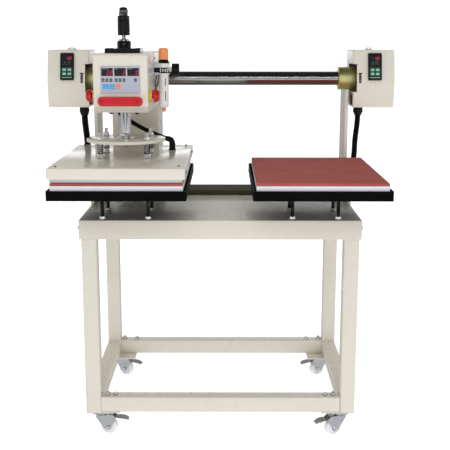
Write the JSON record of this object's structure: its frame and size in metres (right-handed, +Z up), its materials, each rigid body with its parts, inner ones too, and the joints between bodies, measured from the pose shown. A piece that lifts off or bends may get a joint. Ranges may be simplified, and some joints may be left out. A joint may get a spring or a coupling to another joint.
{
  "type": "heat press",
  "caption": "Twin-station pneumatic heat press: a sliding head with an air-driven heated platen over two padded lower platens on a castored steel stand.",
  "frame": {"origin": "on the floor under the middle of the machine's outline", "axes": "+Z up, +Y towards the back of the machine so that its operator stands at -Y, +X to the operator's right"},
  "size_m": [1.238, 0.87, 1.4381],
  "materials": {
    "cream_paint": "semi-gloss ivory powder coat",
    "black_paint": "semi-gloss black paint",
    "black_plastic": "moulded black plastic and corrugated nylon hose",
    "hard_chrome": "ground and hard-chromed",
    "ground_steel": "hardened, ground and polished",
    "olive_zinc": "yellow passivated zinc plate",
    "zinc": "bright zinc plate",
    "white_plate": "aluminium plate with a satin near-white coat",
    "heater_aluminium": "machined",
    "silicone": "matt brick-red silicone sponge",
    "panel_film": "printed membrane film",
    "red_plastic": "glossy moulded red",
    "orange_plastic": "moulded orange",
    "white_plastic": "moulded off-white",
    "grey_cast": "die-cast, light grey",
    "bronze": "sintered bronze",
    "caster_nylon": "white nylon"
  },
  "bodies": {
    "frame": {"table_top": "cream_paint", "end_frame_left": "cream_paint", "end_frame_right": "cream_paint", "lower_beam_front": "cream_paint", "lower_beam_rear": "cream_paint", "guide_beam": "olive_zinc", "column_left": "cream_paint", "column_right": "cream_paint", "slide_shaft": "ground_steel", "shaft_collar_left": "olive_zinc", "shaft_collar_right": "olive_zinc", "control_box_left": "cream_paint", "control_box_right": "cream_paint", "temperature_controller_left": "black_plastic", "temperature_controller_right": "black_plastic", "platen_hose_left": "black_plastic", "platen_hose_right": "black_plastic", "platen_tray_left": "black_paint", "platen_tray_right": "black_paint", "lower_heat_plate_left": "white_plate", "lower_heat_plate_right": "white_plate", "silicone_pad_left": "silicone", "silicone_pad_right": "silicone", "platen_stand_left": "black_paint", "platen_stand_right": "black_paint", "caster_plate_front_left": "zinc", "caster_plate_front_right": "zinc", "caster_plate_rear_left": "zinc", "caster_plate_rear_right": "zinc"},
    "head": {"carriage": "cream_paint", "head_cover": "cream_paint", "slide_bushing": "bronze", "air_cylinder": "black_paint", "control_panel": "panel_film", "pull_handle": "red_plastic", "regulator_body": "grey_cast", "regulator_bowl": "white_plastic"},
    "ram": {"piston_rod": "hard_chrome", "press_disc": "cream_paint", "heater_cover": "cream_paint", "upper_heat_plate": "heater_aluminium", "heater_cable": "black_plastic"},
    "stop_sleeve": {"stroke_stop_sleeve": "black_paint"},
    "estop_left": {"estop_button_left": "red_plastic"},
    "estop_right": {"estop_button_right": "red_plastic"},
    "pressure_knob": {"regulator_knob": "orange_plastic"},
    "air_valve": {"slide_valve_sleeve": "black_plastic"},
    "roller": {"guide_roller": "ground_steel"},
    "fork_front_left": {"caster_fork_front_left": "zinc"},
    "wheel_front_left": {"caster_wheel_front_left": "caster_nylon"},
    "brake_front_left": {"caster_brake_front_left": "zinc"},
    "fork_front_right": {"caster_fork_front_right": "zinc"},
    "wheel_front_right": {"caster_wheel_front_right": "caster_nylon"},
    "brake_front_right": {"caster_brake_front_right": "zinc"},
    "fork_rear_left": {"caster_fork_rear_left": "zinc"},
    "wheel_rear_left": {"caster_wheel_rear_left": "caster_nylon"},
    "brake_rear_left": {"caster_brake_rear_left": "zinc"},
    "fork_rear_right": {"caster_fork_rear_right": "zinc"},
    "wheel_rear_right": {"caster_wheel_rear_right": "caster_nylon"},
    "brake_rear_right": {"caster_brake_rear_right": "zinc"}
  },
  "joints": [
    {"name": "head_slide", "type": "slide", "parent": "frame", "child": "head", "axis": [1, 0, 0], "range_m": [0, 0.622]},
    {"name": "ram_lift", "type": "slide", "parent": "head", "child": "ram", "axis": [0, 0, 1], "range_m": [0, 0.055], "deforming": ["heater_cable"]},
    {"name": "stop_sleeve_turn", "type": "hinge", "parent": "ram", "child": "stop_sleeve", "pos_m": [-0.311, -0.124, 1.38], "axis": [0, 0, 1], "continuous": true},
    {"name": "estop_left_push", "type": "slide", "parent": "head", "child": "estop_left", "axis": [1, 0, 0], "range_m": [0, 0.0035], "stiffness_N_per_m": 800, "springref_m": -0.001},
    {"name": "estop_right_push", "type": "slide", "parent": "head", "child": "estop_right", "axis": [-1, 0, 0], "range_m": [0, 0.0035], "stiffness_N_per_m": 800, "springref_m": -0.001},
    {"name": "pressure_knob_turn", "type": "hinge", "parent": "head", "child": "pressure_knob", "pos_m": [-0.192, -0.015, 1.29], "axis": [0, 0, 1], "range_deg": [-540, 540]},
    {"name": "air_valve_slide", "type": "slide", "parent": "head", "child": "air_valve", "axis": [1, 0, 0], "range_m": [0, 0.006]},
    {"name": "guide_roller_spin", "type": "hinge", "parent": "head", "child": "roller", "pos_m": [-0.311, 0.2484, 0.7695], "axis": [0, 0, 1], "continuous": true},
    {"name": "swivel_front_left", "type": "hinge", "parent": "frame", "child": "fork_front_left", "pos_m": [-0.41, -0.175, 0.07], "axis": [0, 0, 1], "continuous": true},
    {"name": "wheel_spin_front_left", "type": "hinge", "parent": "fork_front_left", "child": "wheel_front_left", "pos_m": [-0.38506, -0.17674, 0.028], "axis": [0.0698, 0.9976, 0], "continuous": true},
    {"name": "brake_press_front_left", "type": "hinge", "parent": "fork_front_left", "child": "brake_front_left", "pos_m": [-0.36561, -0.1781, 0.0575], "axis": [0.0698, 0.9976, 0], "range_deg": [-12, 5]},
    {"name": "swivel_front_right", "type": "hinge", "parent": "frame", "child": "fork_front_right", "pos_m": [0.41, -0.175, 0.07], "axis": [0, 0, 1], "continuous": true},
    {"name": "wheel_spin_front_right", "type": "hinge", "parent": "fork_front_right", "child": "wheel_front_right", "pos_m": [0.38716, -0.18517, 0.028], "axis": [0.4067, -0.9135, 0], "continuous": true},
    {"name": "brake_press_front_right", "type": "hinge", "parent": "fork_front_right", "child": "brake_front_right", "pos_m": [0.36935, -0.1931, 0.0575], "axis": [0.4067, -0.9135, 0], "range_deg": [-12, 5]},
    {"name": "swivel_rear_left", "type": "hinge", "parent": "frame", "child": "fork_rear_left", "pos_m": [-0.41, 0.388, 0.07], "axis": [0, 0, 1], "continuous": true},
    {"name": "wheel_spin_rear_left", "type": "hinge", "parent": "fork_rear_left", "child": "wheel_rear_left", "pos_m": [-0.38682, 0.37863, 0.028], "axis": [0.3746, 0.9272, 0], "continuous": true},
    {"name": "brake_press_rear_left", "type": "hinge", "parent": "fork_rear_left", "child": "brake_rear_left", "pos_m": [-0.36874, 0.37133, 0.0575], "axis": [0.3746, 0.9272, 0], "range_deg": [-12, 5]},
    {"name": "swivel_rear_right", "type": "hinge", "parent": "frame", "child": "fork_rear_right", "pos_m": [0.41, 0.388, 0.07], "axis": [0, 0, 1], "continuous": true},
    {"name": "wheel_spin_rear_right", "type": "hinge", "parent": "fork_rear_right", "child": "wheel_rear_right", "pos_m": [0.38651, 0.37945, 0.028], "axis": [0.342, -0.9397, 0], "continuous": true},
    {"name": "brake_press_rear_right", "type": "hinge", "parent": "fork_rear_right", "child": "brake_rear_right", "pos_m": [0.36818, 0.37278, 0.0575], "axis": [0.342, -0.9397, 0], "range_deg": [-12, 5]}
  ],
  "couplings": [
    {"joint": "guide_roller_spin", "follows": "head_slide", "rad_per_m": 55.556}
  ]
}
